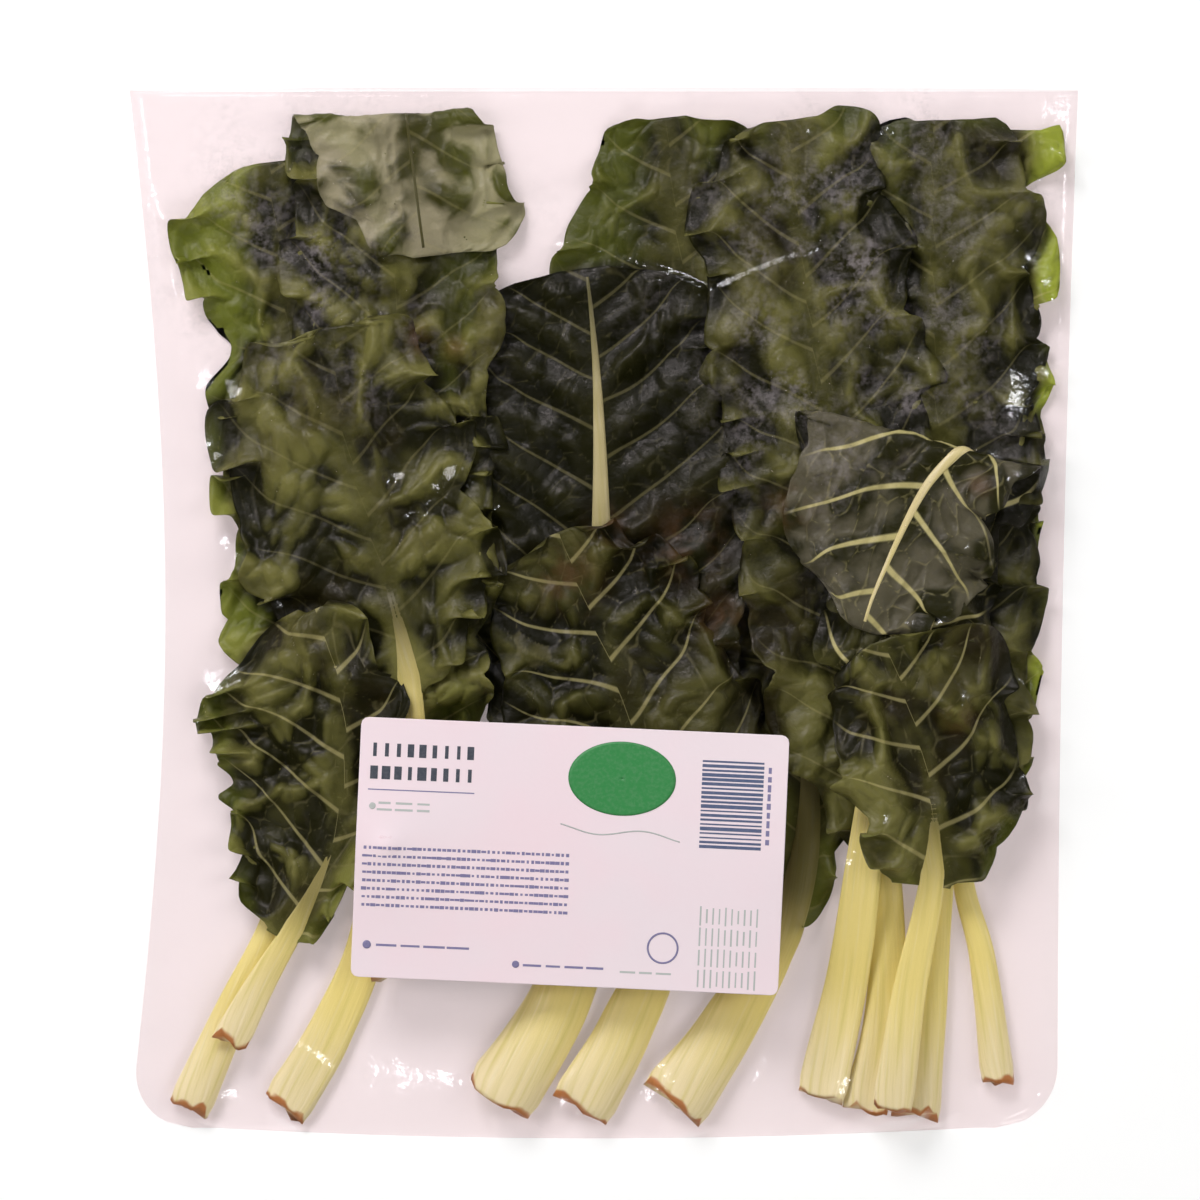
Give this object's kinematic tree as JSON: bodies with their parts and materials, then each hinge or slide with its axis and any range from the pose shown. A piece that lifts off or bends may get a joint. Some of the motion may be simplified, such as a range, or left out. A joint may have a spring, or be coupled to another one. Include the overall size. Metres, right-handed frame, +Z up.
{
  "type": "bagged chard bunch",
  "caption": "Fresh chard leaves on cut pale stems, lying flat in a clear open-mouthed film bag with a paper label.",
  "frame": {"origin": "on the surface under the bag, below the middle of its outline", "axes": "+Z up out of the label side, +Y from the cut stems to the bag's open mouth, +X to the right as the label is read"},
  "size_m": [0.32, 0.354, 0.0249],
  "materials": {
    "chard_leaf": "satin",
    "bag_film": "gloss",
    "label_paper": "satin"
  },
  "bodies": {
    "root": {"leaf_centre_right": "chard_leaf", "leaf_centre_back": "chard_leaf", "leaf_centre_front": "chard_leaf", "leaf_left_back": "chard_leaf", "leaf_left_tip": "chard_leaf", "leaf_left_middle": "chard_leaf", "leaf_left_front": "chard_leaf", "leaf_right_edge": "chard_leaf", "leaf_right_back": "chard_leaf", "leaf_right_tall": "chard_leaf", "leaf_right_front": "chard_leaf", "leaf_right_folded": "chard_leaf", "bag_back_sheet": "bag_film", "bag_front_sheet": "bag_film", "label": "label_paper"}
  },
  "joints": []
}
